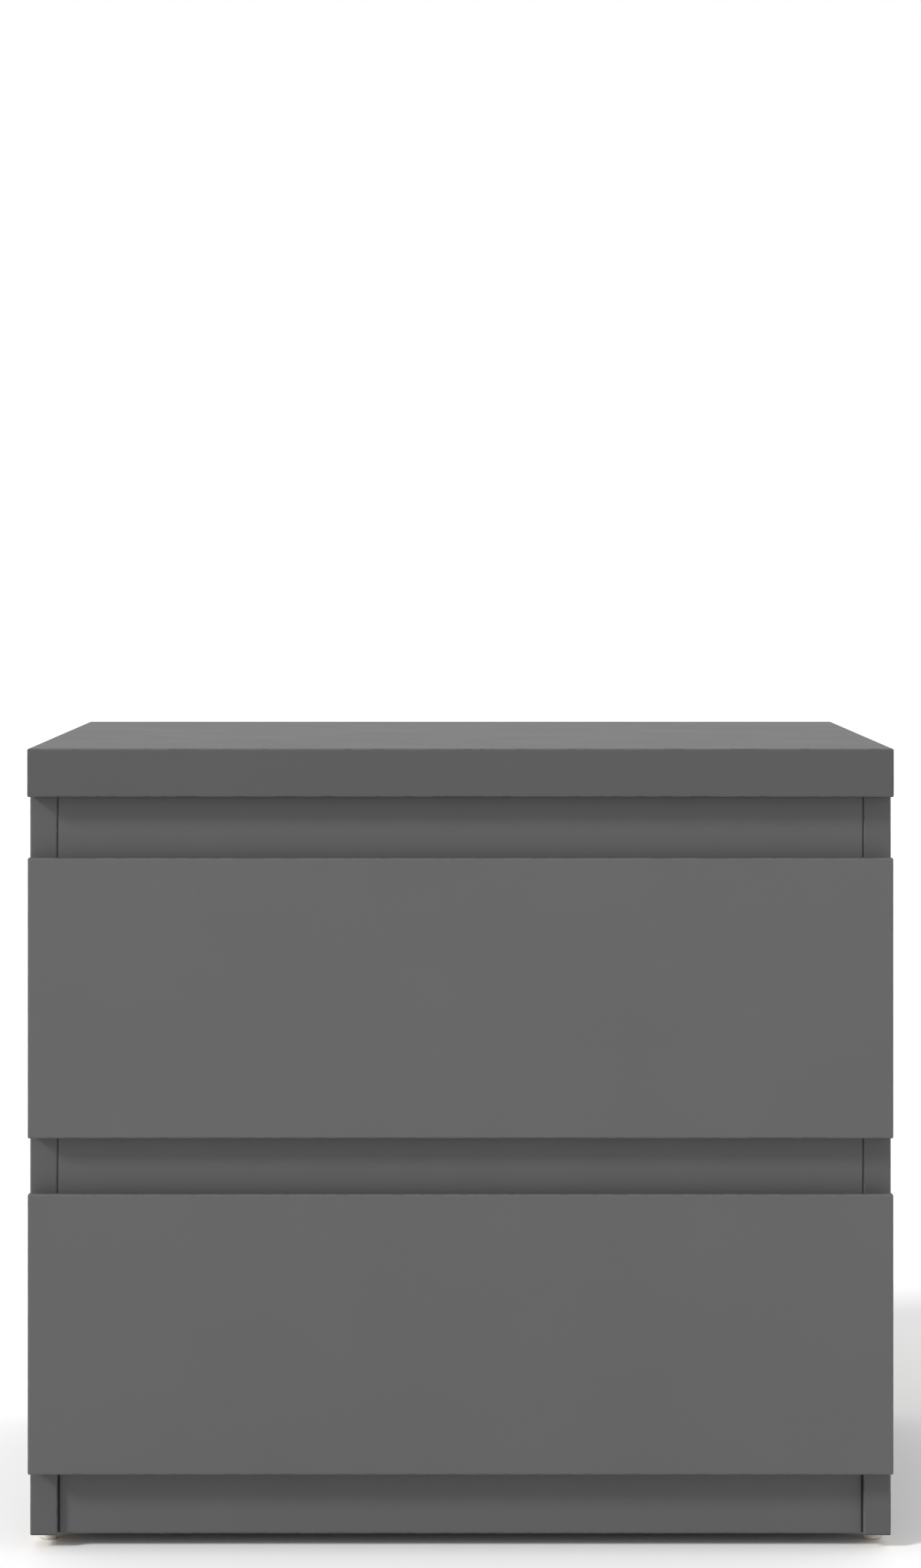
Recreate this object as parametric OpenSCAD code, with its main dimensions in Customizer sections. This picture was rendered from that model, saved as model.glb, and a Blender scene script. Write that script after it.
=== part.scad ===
// Two-drawer nightstand of faced chipboard, with overlay fronts and roller runners.
// The origin is on the floor under the middle of the cabinet. -Y is the front.

/* [Overall] */
// Width of the cabinet and its top panel
width = 500; // [440:5:620]
// Depth from the drawer fronts to the rear edge
depth = 400; // [360:5:500]
// Height from the floor to the top face
height = 466; // [440:2:580]

/* [Boards] */
// Thickness of the top panel
top_t = 28; // [22:1:36]
// Thickness of the sides, rails and plinth
board_t = 16; // [15:0.2:20]
// Thickness of the drawer fronts
front_t = 16; // [16:0.2:22]
// Radius of the edging on the visible boards
edge_r = 1.2; // [0.6:0.1:2]

/* [Front layout] */
// Grip gap between the top panel and the upper front
upper_grip = 35; // [24:1:45]
// Grip gap between the two fronts
middle_grip = 32; // [24:1:45]
// Height of plinth that shows under the lower front
plinth_show = 39; // [30:1:60]
// How far each front stops short of the cabinet's end
front_side_gap = 0.3; // [0.2:0.1:2]
// Gap behind a closed front
front_back_gap = 1; // [0.5:0.1:2]
// How far a rail reaches down behind the front under it
rail_lap_down = 23; // [20:1:30]
// How far a rail reaches up behind the front over it
rail_lap_up = 10; // [6:1:14]
// How far the plinth stands back from the side panels' edges
plinth_recess = 5; // [2:0.5:12]
// Flat land left at the top edge of a front
pull_land = 5; // [4:0.5:7]
// Height of the bevel that the fingers pull on
pull_h = 18; // [12:1:20]

/* [Back panel] */
// Thickness of the back panel
back_t = 3; // [2.5:0.1:4]
// Distance from the rear edge to the back panel's groove
back_inset = 8; // [6:0.5:12]
// Depth of the grooves that hold the back panel
back_groove = 6; // [4:0.5:8]

/* [Drawer boxes] */
// Thickness of the drawer sides and backs
box_t = 12; // [11:0.2:15]
// Height of the drawer sides and backs
box_h = 110; // [90:1:114]
// Length of the drawer sides
box_len = 350; // [320:5:350]
// Thickness of the drawer bottoms
floor_t = 3; // [2.5:0.1:4]
// Height of the bottom's groove above the drawer side's lower edge
floor_lift = 12; // [11:0.5:16]
// Depth of the grooves that hold a drawer bottom
floor_groove = 6; // [4:0.5:7]

/* [Runners] */
// Space that a runner needs beside a drawer
runner_gap = 12.5; // [12:0.1:14]
// Length of the cabinet runners
runner_len = 350; // [320:5:350]
// Thickness of the runners' sheet steel
sheet_t = 1.2; // [1:0.1:1.3]
// Diameter of the nylon rollers
roller_d = 16; // [13:0.1:19.5]
// Width of the nylon rollers
roller_w = 6; // [5:0.1:6.4]
// Diameter of the pins that the rollers turn on
pin_d = 5; // [4:0.1:6]
// Free height between a runner and the rail under it
runner_lift = 0.8; // [0.5:0.1:2]

/* [Glides] */
// Height of the glides under the side panels
glide_h = 8; // [5:1:14]
// Diameter of the glides
glide_d = 10.8; // [9:0.1:14]
// Distance from a side panel's front edge to the front glide's centre
glide_in = 28; // [28:1:60]

/* [Fittings] */
// Distance from a joint to the centre of its cam lock
cam_reach = 34; // [28:1:40]
// Diameter of the cam locks
cam_d = 15; // [15:0.5:18]
// Diameter of the carcass dowels
dowel_d = 8; // [6:0.5:8]
// Diameter of the drawer dowels
box_dowel_d = 6; // [5:0.5:6]
// Thread diameter of the connecting bolts
bolt_d = 5; // [4:0.1:6]

/* [Hidden] */
$fn = 48;
eps = 0.5;          // how far a cut runs past the face that it opens
snug = 0.05;        // radial clearance of a fitted screw, dowel or pin
side_play = 0.2;    // sideways clearance of a roller on its pin
play = 0.3;         // clearance of a rolling or sliding piece

// Levels and lines of the carcass
half_w = width / 2;
front_y = -depth / 2;
rear_y = depth / 2;
top_z = height - top_t;
inner_x = half_w - board_t;
side_y = front_y + front_t + front_back_gap;
plinth_y = side_y + plinth_recess;
back_y = rear_y - back_inset - back_t;
rear_rail_y = back_y - board_t;

// Levels of the two fronts: each is the height that the gaps leave
front_h = (top_z - glide_h - upper_grip - middle_grip - plinth_show) / 2;
lower_z = glide_h + plinth_show;
upper_z = lower_z + front_h + middle_grip;
front_z = [lower_z, upper_z];

// Rails, each as [lower edge, upper edge]
plinth_span = [glide_h, lower_z + rail_lap_up];
middle_span = [lower_z + front_h - rail_lap_down, upper_z + rail_lap_up];
top_span = [upper_z + front_h - rail_lap_down, top_z];
rear_bottom_span = plinth_span;
rear_top_span = top_span;

// Section of a runner: u is measured from the side panel, w from the channel's underside
flange_u = runner_gap - 2.3;
lip_u = 3;
roller_w0 = sheet_t + play + roller_d / 2;
channel_h = roller_w0 + roller_d / 2 + 0.5 + sheet_t;
ride_w = channel_h + 0.8;
cabinet_roller_w = ride_w - play - roller_d / 2;
box_w = 4 + sheet_t;
runner_z = [plinth_span[1] + runner_lift, middle_span[1] + runner_lift];
box_z = [runner_z[0] + box_w, runner_z[1] + box_w];

// Places along the runners
runner_y = side_y + 2;
cabinet_roller_y = runner_y + roller_d / 2 + 3;
box_y = front_y + front_t;
box_end = box_y + box_len;
drawer_roller_y = box_end - roller_d / 2 - 2;
runner_screw_at = [45, 170, 300];
runner_screw_d = 3.5;
runner_screw_len = 11;
short_screw_len = 9.5;
low_head_h = 0.9;
rivet_head = 0.9;
rivet_tail_d = 4;

// Widths of a drawer box
box_edge_r = 0.8;
box_out = inner_x - runner_gap;
box_in = box_out - box_t;
box_mid = box_out - box_t / 2;

// Cam joints: local +X runs into the board that holds the cam, local +Z out of the cam's bore
cam_axis = 4.5;
box_cam_axis = 3.5;
box_cam_reach = 24;
bolt_bore_d = 8;
bolt_depth = 11;
bolt_head_d = 6;
bolt_head_l = 3;
bolt_neck_r = 2;
cam_clear = 0.2;
dowel_deep = 20;
dowel_shallow = 10;
box_dowel_deep = 16;
box_dowel_shallow = 8.5;
cams_to_rear = [-90, 0, 0];
cams_to_front = [90, 0, 0];
cams_inwards = [0, 90, 0];
box_turn = [90, 0, 90];

rail_bolt_in = 18;
rail_dowel_in = 14;

function rail_bolt_z(span) = span[1] - rail_bolt_in;
function rail_dowel_z(span) = span[0] + rail_dowel_in;

// Every rail as [front face, span, turn of its cams]
rails = [
    [side_y, top_span, cams_to_rear],
    [side_y, middle_span, cams_to_rear],
    [plinth_y, plinth_span, cams_to_rear],
    [rear_rail_y, rear_top_span, cams_to_front],
    [rear_rail_y, rear_bottom_span, cams_to_front]
];
top_bolt_in = 55;
top_dowel_in = 35;
top_bolt_y = [side_y + top_bolt_in, rear_y - top_bolt_in];
top_dowel_y = [side_y + top_dowel_in, rear_y - top_dowel_in];
side_mid = half_w - board_t / 2;
glide_peg_d = 8;
glide_peg_l = 21;
// The rear glides' pegs stand 1 mm clear of the dowels of the rear bottom rail
rear_glide_y = rear_rail_y + board_t / 2 - dowel_d / 2 - glide_peg_d / 2 - 1;
glide_y = [side_y + glide_in, rear_glide_y];
nail_end = inner_x - cam_reach - cam_d - 7;
nail_x = [for (i = [-2:2]) i * nail_end / 2];
nail_in = 25;
nail_z = [rear_bottom_span[0] + nail_in, rear_top_span[1] - nail_in];
nail_d = 1.8;
nail_head = [1.9, 0.7];
nail_len = back_t + 12;
box_bolt_at = 62;
box_dowel_at = [30, 94];
corner_screw_at = [32, 88];
corner_screw_len = 35;
corner_screw_d = 3.5;
screw_head_d = 7;
screw_hole_d = 4;
sunk = 0.1;
sink_depth = 2;
floor_play = 0.3;

// ---- shared shapes ----

module block(lo, hi) {
    translate(lo) cube(hi - lo);
}

module round_rect(w, h, r) {
    translate([r, 0]) square([w - 2 * r, h]);
    translate([0, r]) square([w, h - 2 * r]);
    for (x = [r, w - r], y = [r, h - r])
        translate([x, y]) circle(r);
}

// A board from corner to corner with every edge rounded
module board(lo, hi, r = edge_r) {
    s = hi - lo;
    translate(lo) intersection() {
        linear_extrude(s.z) round_rect(s.x, s.y, r);
        translate([0, s.y, 0]) rotate([90, 0, 0])
            linear_extrude(s.y) round_rect(s.x, s.z, r);
        rotate([90, 0, 90])
            linear_extrude(s.x) round_rect(s.y, s.z, r);
    }
}

module both_sides() {
    children();
    mirror([1, 0, 0]) children();
}

module on_side(right) {
    mirror([right ? 1 : 0, 0, 0]) children();
}

// A round bar or bore along local X
module rod(from, to, d) {
    translate([from, 0, 0]) rotate([0, 90, 0]) cylinder(h = to - from, d = d);
}

// ---- cam joint: bores and pieces, about the point where the two boards meet ----

module bolt_pilot() {
    rod(-bolt_depth - eps, eps, bolt_d + 2 * snug);
}

module cam_bores(reach, axis_h, t) {
    rod(-eps, reach, bolt_bore_d);
    translate([reach, 0, -axis_h]) cylinder(h = axis_h + t / 2 + eps, d = cam_d);
}

module cam_lock(reach, axis_h, t) {
    tall = axis_h + t / 2 - 2 * snug;
    pocket = bolt_head_d / 2 + cam_clear;
    slot = bolt_neck_r + 2 * cam_clear;
    behind = bolt_head_l + 2 * cam_clear;
    recess = [7, 1.3, 3.6];
    translate([reach, 0, -axis_h]) difference() {
        cylinder(h = tall, d = cam_d - cam_clear);
        block([-behind, -pocket, axis_h - pocket], [behind, pocket, axis_h + pocket]);
        block([-cam_d, -slot, axis_h - slot], [0, slot, axis_h + slot]);
        for (a = [45, 135])
            translate([0, 0, tall]) rotate(a) cube(recess, center = true);
    }
}

module cam_bolt(reach) {
    thread_r = bolt_d / 2;
    head_r = bolt_head_d / 2;
    collar = [3.6, 2.5];
    shank_end = reach - cam_d / 2 - 1.5;
    tip = reach - cam_clear;
    rotate([0, 90, 0]) rotate_extrude() polygon([
        [0, -bolt_depth], [thread_r - 1, -bolt_depth], [thread_r, -bolt_depth + 1.5],
        [thread_r, 0], [collar[0], 0], collar, [head_r, collar[1]], [head_r, shank_end],
        [bolt_neck_r, shank_end + 1], [bolt_neck_r, tip - bolt_head_l],
        [head_r, tip - bolt_head_l], [head_r, tip - 1], [head_r - 1, tip], [0, tip]
    ]);
}

module dowel(d, shallow, deep) {
    c = 1;
    rotate([0, 90, 0]) rotate_extrude() polygon([
        [0, -shallow], [d / 2 - c, -shallow], [d / 2, -shallow + c],
        [d / 2, deep - c], [d / 2 - c, deep], [0, deep]
    ]);
}

module dowel_bores(d, shallow, deep) {
    rod(-shallow, eps, d + 2 * snug);
    rod(-eps, deep + eps, d + 2 * snug);
}

// ---- carcass ----

module top_panel() {
    color("#6b6a6b") difference() {
        board([-half_w, front_y, top_z], [half_w, rear_y, height]);
        both_sides() {
            for (y = top_bolt_y)
                translate([-side_mid, y, top_z]) rotate(cams_inwards) bolt_pilot();
            for (y = top_dowel_y)
                translate([-side_mid, y, top_z]) rotate(cams_inwards)
                    rod(-dowel_shallow, eps, dowel_d + 2 * snug);
        }
        back_space();
    }
}

// The slot in which the back panel sits, in the sides and the top
module back_space() {
    block([-inner_x - back_groove, back_y, -eps],
          [inner_x + back_groove, back_y + back_t + floor_play, top_z + back_groove]);
}

module side_panel() {
    difference() {
        board([-half_w, side_y, glide_h], [-inner_x, rear_y, top_z]);
        back_space();
        for (y = top_bolt_y)
            translate([-side_mid, y, top_z]) rotate(cams_inwards)
                cam_bores(cam_reach, cam_axis, board_t);
        for (y = top_dowel_y)
            translate([-side_mid, y, top_z]) rotate(cams_inwards)
                rod(-eps, dowel_deep + eps, dowel_d + 2 * snug);
        for (r = rails) {
            translate([-inner_x, r[0] + board_t / 2, rail_bolt_z(r[1])]) bolt_pilot();
            translate([-inner_x, r[0] + board_t / 2, rail_dowel_z(r[1])])
                rod(-dowel_shallow, eps, dowel_d + 2 * snug);
        }
        for (z = runner_z, y = runner_screw_at)
            translate([-inner_x, runner_y + y, z + roller_w0])
                rod(-runner_screw_len - 1, eps, runner_screw_d + 2 * snug);
        for (y = glide_y)
            translate([-side_mid, y, glide_h - eps])
                cylinder(h = glide_peg_l + 1 + eps, d = glide_peg_d + 2 * snug);
    }
}

module left_side() {
    color("#5d5d5d") side_panel();
}

module right_side() {
    color("#5d5d5d") mirror([1, 0, 0]) side_panel();
}

module rail(r) {
    color("#5d5d5d") difference() {
        board([-inner_x, r[0], r[1][0]], [inner_x, r[0] + board_t, r[1][1]]);
        both_sides() {
            translate([-inner_x, r[0] + board_t / 2, rail_bolt_z(r[1])]) rotate(r[2])
                cam_bores(cam_reach, cam_axis, board_t);
            translate([-inner_x, r[0] + board_t / 2, rail_dowel_z(r[1])])
                rod(-eps, dowel_deep + eps, dowel_d + 2 * snug);
        }
        if (r[0] == rear_rail_y) nail_bores();
    }
}

module top_rail() { rail(rails[0]); }
module middle_rail() { rail(rails[1]); }
module plinth() { rail(rails[2]); }
module rear_top_rail() { rail(rails[3]); }
module rear_bottom_rail() { rail(rails[4]); }

module nail_bores() {
    for (x = nail_x, z = nail_z)
        translate([x, back_y + back_t + eps, z]) rotate([90, 0, 0])
            cylinder(h = nail_len + eps, d = nail_d + 2 * snug);
}

module back_panel() {
    color("#8f8a84") difference() {
        block([-inner_x - back_groove + eps, back_y, glide_h + 2],
              [inner_x + back_groove - eps, back_y + back_t, top_z + back_groove - eps]);
        nail_bores();
    }
}

module back_nails() {
    color("silver") for (x = nail_x, z = nail_z)
        translate([x, back_y + back_t, z]) rotate([90, 0, 0]) rotate_extrude() polygon([
            [0, -nail_head[1]], [nail_head[0], -nail_head[1]], [nail_head[0], 0],
            [nail_d / 2, 0], [nail_d / 2, nail_len - 3], [0, nail_len - 1]
        ]);
}

module glide(y) {
    round_r = 1.4;
    color("#d8d0c2") translate([-side_mid, y, 0]) rotate_extrude() polygon(concat(
        [[0, 0]],
        [for (a = [0:15:90]) [glide_d / 2 - round_r + round_r * sin(a), round_r - round_r * cos(a)]],
        [[glide_d / 2, glide_h], [glide_peg_d / 2, glide_h],
         [glide_peg_d / 2, glide_h + glide_peg_l - 2],
         [glide_peg_d / 2 - 1, glide_h + glide_peg_l], [0, glide_h + glide_peg_l]]
    ));
}

module front_left_glide() { glide(glide_y[0]); }
module rear_left_glide() { glide(glide_y[1]); }
module front_right_glide() { mirror([1, 0, 0]) glide(glide_y[0]); }
module rear_right_glide() { mirror([1, 0, 0]) glide(glide_y[1]); }

module carcass_cam_locks() {
    color("silver") both_sides() {
        for (r = rails)
            translate([-inner_x, r[0] + board_t / 2, rail_bolt_z(r[1])]) rotate(r[2])
                cam_lock(cam_reach, cam_axis, board_t);
        for (y = top_bolt_y)
            translate([-side_mid, y, top_z]) rotate(cams_inwards)
                cam_lock(cam_reach, cam_axis, board_t);
    }
}

module carcass_bolts() {
    color("silver") both_sides() {
        for (r = rails)
            translate([-inner_x, r[0] + board_t / 2, rail_bolt_z(r[1])]) cam_bolt(cam_reach);
        for (y = top_bolt_y)
            translate([-side_mid, y, top_z]) rotate(cams_inwards) cam_bolt(cam_reach);
    }
}

module carcass_dowels() {
    color("burlywood") both_sides() {
        for (r = rails)
            translate([-inner_x, r[0] + board_t / 2, rail_dowel_z(r[1])])
                dowel(dowel_d, dowel_shallow, dowel_deep);
        for (y = top_dowel_y)
            translate([-side_mid, y, top_z]) rotate(cams_inwards)
                dowel(dowel_d, dowel_shallow, dowel_deep);
    }
}

// ---- runners ----

// A strip of the runner's section along the whole length, on the left side
module strip(u, w, y) {
    block([-inner_x + u[0], y[0], w[0]], [-inner_x + u[1], y[1], w[1]]);
}

module cabinet_runner(level) {
    ends = [runner_y, runner_y + runner_len];
    color("#dcdad4") translate([0, 0, runner_z[level]]) difference() {
        union() {
            strip([0, sheet_t], [0, channel_h], ends);
            strip([0, flange_u], [0, sheet_t], ends);
            strip([0, flange_u], [channel_h - sheet_t, channel_h],
                  [cabinet_roller_y + roller_d / 2 + 2, ends[1]]);
        }
        for (y = runner_screw_at)
            translate([-inner_x, runner_y + y, roller_w0])
                rod(-eps, sheet_t + eps, screw_hole_d);
        translate([-inner_x, cabinet_roller_y, cabinet_roller_w])
            rod(-eps, sheet_t + eps, rivet_tail_d + 2 * snug);
    }
}

module cabinet_runner_upper_left() { cabinet_runner(1); }
module cabinet_runner_upper_right() { mirror([1, 0, 0]) cabinet_runner(1); }
module cabinet_runner_lower_left() { cabinet_runner(0); }
module cabinet_runner_lower_right() { mirror([1, 0, 0]) cabinet_runner(0); }

// Low-headed screws, clear of the roller that passes them
module cabinet_runner_screws() {
    color("silver") both_sides() for (z = runner_z, y = runner_screw_at)
        translate([-inner_x + sheet_t, runner_y + y, z + roller_w0]) rotate([0, 90, 0])
            rotate_extrude() polygon([
                [0, -runner_screw_len], [runner_screw_d / 2, 2 - runner_screw_len],
                [runner_screw_d / 2, 0], [screw_head_d / 2, 0], [screw_head_d / 2, 0.4],
                [screw_head_d / 2 - 0.8, low_head_h], [0, low_head_h]
            ]);
}

// A roller and its rivet, with the spacer of the rivet against the sheet at local x = 0
module roller() {
    shoulder = 0.6;
    rotate([0, 90, 0]) translate([0, 0, rivet_head + side_play]) difference() {
        union() {
            cylinder(h = roller_w, d = roller_d - 2 * shoulder);
            translate([0, 0, shoulder]) cylinder(h = roller_w - 2 * shoulder, d = roller_d);
        }
        translate([0, 0, -eps]) cylinder(h = roller_w + 2 * eps, d = pin_d + 2 * snug);
    }
}

module roller_pin() {
    shaft_end = rivet_head + roller_w + 2 * side_play;
    pin_r = pin_d / 2;
    spacer_r = pin_r + 1.5;
    rotate([0, 90, 0]) rotate_extrude() polygon([
        [0, -sheet_t], [rivet_tail_d / 2, -sheet_t], [rivet_tail_d / 2, 0], [spacer_r, 0],
        [spacer_r, rivet_head], [pin_r, rivet_head], [pin_r, shaft_end],
        [pin_r + 1.2, shaft_end], [pin_r + 1.2, shaft_end + 0.4],
        [pin_r + 0.6, shaft_end + rivet_head], [0, shaft_end + rivet_head]
    ]);
}

module at_cabinet_roller(level) {
    translate([-inner_x + sheet_t, cabinet_roller_y, runner_z[level] + cabinet_roller_w])
        children();
}

module at_drawer_roller(level) {
    translate([-box_out - sheet_t, drawer_roller_y, runner_z[level] + roller_w0])
        mirror([1, 0, 0]) children();
}

module cabinet_roller_pins() {
    color("silver") both_sides() for (level = [0, 1]) at_cabinet_roller(level) roller_pin();
}

module cabinet_roller(level, right) {
    color("white") on_side(right) at_cabinet_roller(level) roller();
}

module cabinet_roller_upper_left() { cabinet_roller(1, false); }
module cabinet_roller_upper_right() { cabinet_roller(1, true); }
module cabinet_roller_lower_left() { cabinet_roller(0, false); }
module cabinet_roller_lower_right() { cabinet_roller(0, true); }

// ---- drawers: level 0 is the lower one, level 1 the upper one ----

// The slot in which a drawer bottom sits, in the front, sides and back
module floor_space(level) {
    z = box_z[level] + floor_lift;
    block([-box_in - floor_groove, box_y - floor_groove, z],
          [box_in + floor_groove, box_end - box_t + floor_groove, z + floor_t + floor_play]);
}

module drawer_front(level) {
    z = front_z[level];
    half = half_w - front_side_gap;
    color("#696868") difference() {
        board([-half, front_y, z], [half, front_y + front_t, z + front_h]);
        translate([-half_w, 0, 0]) rotate([90, 0, 90]) linear_extrude(width) polygon([
            [front_y + pull_land, z + front_h], [front_y + pull_land, z + front_h + eps],
            [box_y + eps, z + front_h + eps], [box_y + eps, z + front_h - pull_h],
            [box_y, z + front_h - pull_h]
        ]);
        floor_space(level);
        both_sides() {
            translate([-box_mid, box_y, box_z[level] + box_bolt_at]) rotate(box_turn)
                bolt_pilot();
            for (z = box_dowel_at)
                translate([-box_mid, box_y, box_z[level] + z]) rotate(box_turn)
                    rod(-box_dowel_shallow, eps, box_dowel_d + 2 * snug);
        }
    }
}

module box_side(level, right) {
    z0 = box_z[level];
    color("#c9c7c3") on_side(right) difference() {
        board([-box_out, box_y, z0], [-box_in, box_end, z0 + box_h], box_edge_r);
        floor_space(level);
        translate([-box_mid, box_y, z0 + box_bolt_at]) rotate(box_turn)
            cam_bores(box_cam_reach, box_cam_axis, box_t);
        for (z = box_dowel_at)
            translate([-box_mid, box_y, z0 + z]) rotate(box_turn)
                rod(-eps, box_dowel_deep + eps, box_dowel_d + 2 * snug);
        for (z = corner_screw_at)
            translate([-box_out, box_end - box_t / 2, z0 + z]) {
                rod(-eps, box_t + eps, screw_hole_d);
                rotate([0, 90, 0]) cylinder(h = sunk + sink_depth,
                    d1 = screw_head_d + 6 * snug, d2 = corner_screw_d + 2 * snug);
            }
        for (y = runner_screw_at)
            translate([-box_mid, box_y + y, z0 - eps])
                cylinder(h = short_screw_len + eps, d = runner_screw_d + 2 * snug);
    }
}

module box_back(level) {
    z0 = box_z[level];
    color("#c9c7c3") difference() {
        board([-box_in, box_end - box_t, z0], [box_in, box_end, z0 + box_h], box_edge_r);
        floor_space(level);
        both_sides() for (z = corner_screw_at)
            translate([-box_in, box_end - box_t / 2, z0 + z])
                rod(-eps, corner_screw_len - box_t, corner_screw_d + 2 * snug);
    }
}

module box_floor(level) {
    z = box_z[level] + floor_lift;
    color("#d8d6d2") block(
        [-box_in - floor_groove + eps, box_y - floor_groove + eps, z],
        [box_in + floor_groove - eps, box_end - box_t + floor_groove - eps, z + floor_t]);
}

module box_cam_locks(level) {
    color("silver") both_sides()
        translate([-box_mid, box_y, box_z[level] + box_bolt_at]) rotate(box_turn)
            cam_lock(box_cam_reach, box_cam_axis, box_t);
}

module box_bolts(level) {
    color("silver") both_sides()
        translate([-box_mid, box_y, box_z[level] + box_bolt_at]) rotate(box_turn)
            cam_bolt(box_cam_reach);
}

module box_dowels(level) {
    color("burlywood") both_sides() for (z = box_dowel_at)
        translate([-box_mid, box_y, box_z[level] + z]) rotate(box_turn)
            dowel(box_dowel_d, box_dowel_shallow, box_dowel_deep);
}

module corner_screws(level) {
    color("silver") both_sides() for (z = corner_screw_at)
        translate([-box_out, box_end - box_t / 2, box_z[level] + z]) rotate([0, 90, 0])
            rotate_extrude() polygon([
                [0, sunk], [screw_head_d / 2, sunk],
                [corner_screw_d / 2, sunk + sink_depth],
                [corner_screw_d / 2, corner_screw_len - 4],
                [0.5, corner_screw_len], [0, corner_screw_len]
            ]);
}

module drawer_runner(level, right) {
    ends = [box_y + 1, box_end];
    u_out = runner_gap - sheet_t;
    color("#dcdad4") on_side(right) translate([0, 0, runner_z[level]]) difference() {
        union() {
            strip([u_out, runner_gap], [box_w - sheet_t, ride_w + sheet_t], ends);
            strip([lip_u, runner_gap], [ride_w, ride_w + sheet_t], ends);
            strip([u_out, runner_gap + box_t], [box_w - sheet_t, box_w], ends);
        }
        for (y = runner_screw_at)
            translate([-box_mid, box_y + y, 0]) cylinder(h = box_w + eps, d = screw_hole_d);
        translate([-box_out, drawer_roller_y, roller_w0])
            rod(-sheet_t - eps, eps, rivet_tail_d + 2 * snug);
    }
}

module runner_screws(level) {
    color("silver") both_sides() for (y = runner_screw_at)
        translate([-box_mid, box_y + y, runner_z[level] + box_w - sheet_t])
            rotate_extrude() polygon([
                [0, -1.5], [screw_head_d / 4, -1.5], [screw_head_d / 2, -0.8],
                [screw_head_d / 2, 0], [runner_screw_d / 2, 0],
                [runner_screw_d / 2, short_screw_len - 1], [0, short_screw_len]
            ]);
}

module roller_pins(level) {
    color("silver") both_sides() at_drawer_roller(level) roller_pin();
}

module drawer_roller(level, right) {
    color("white") on_side(right) at_drawer_roller(level) roller();
}

module upper_front() { drawer_front(1); }
module upper_box_left() { box_side(1, false); }
module upper_box_right() { box_side(1, true); }
module upper_box_back() { box_back(1); }
module upper_box_floor() { box_floor(1); }
module upper_cam_locks() { box_cam_locks(1); }
module upper_bolts() { box_bolts(1); }
module upper_dowels() { box_dowels(1); }
module upper_corner_screws() { corner_screws(1); }
module upper_drawer_runner_left() { drawer_runner(1, false); }
module upper_drawer_runner_right() { drawer_runner(1, true); }
module upper_runner_screws() { runner_screws(1); }
module upper_roller_pins() { roller_pins(1); }
module upper_drawer_roller_left() { drawer_roller(1, false); }
module upper_drawer_roller_right() { drawer_roller(1, true); }

module lower_front() { drawer_front(0); }
module lower_box_left() { box_side(0, false); }
module lower_box_right() { box_side(0, true); }
module lower_box_back() { box_back(0); }
module lower_box_floor() { box_floor(0); }
module lower_cam_locks() { box_cam_locks(0); }
module lower_bolts() { box_bolts(0); }
module lower_dowels() { box_dowels(0); }
module lower_corner_screws() { corner_screws(0); }
module lower_drawer_runner_left() { drawer_runner(0, false); }
module lower_drawer_runner_right() { drawer_runner(0, true); }
module lower_runner_screws() { runner_screws(0); }
module lower_roller_pins() { roller_pins(0); }
module lower_drawer_roller_left() { drawer_roller(0, false); }
module lower_drawer_roller_right() { drawer_roller(0, true); }

top_panel();
left_side();
right_side();
top_rail();
middle_rail();
plinth();
rear_top_rail();
rear_bottom_rail();
back_panel();
front_left_glide();
front_right_glide();
rear_left_glide();
rear_right_glide();
carcass_cam_locks();
carcass_bolts();
carcass_dowels();
back_nails();
cabinet_runner_upper_left();
cabinet_runner_upper_right();
cabinet_runner_lower_left();
cabinet_runner_lower_right();
cabinet_runner_screws();
cabinet_roller_pins();
cabinet_roller_upper_left();
cabinet_roller_upper_right();
cabinet_roller_lower_left();
cabinet_roller_lower_right();
upper_front();
upper_box_left();
upper_box_right();
upper_box_back();
upper_box_floor();
upper_cam_locks();
upper_bolts();
upper_dowels();
upper_corner_screws();
upper_drawer_runner_left();
upper_drawer_runner_right();
upper_runner_screws();
upper_roller_pins();
upper_drawer_roller_left();
upper_drawer_roller_right();
lower_front();
lower_box_left();
lower_box_right();
lower_box_back();
lower_box_floor();
lower_cam_locks();
lower_bolts();
lower_dowels();
lower_corner_screws();
lower_drawer_runner_left();
lower_drawer_runner_right();
lower_runner_screws();
lower_roller_pins();
lower_drawer_roller_left();
lower_drawer_roller_right();
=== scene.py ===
import math

import bmesh
import bpy
from mathutils import Matrix, Vector


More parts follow.
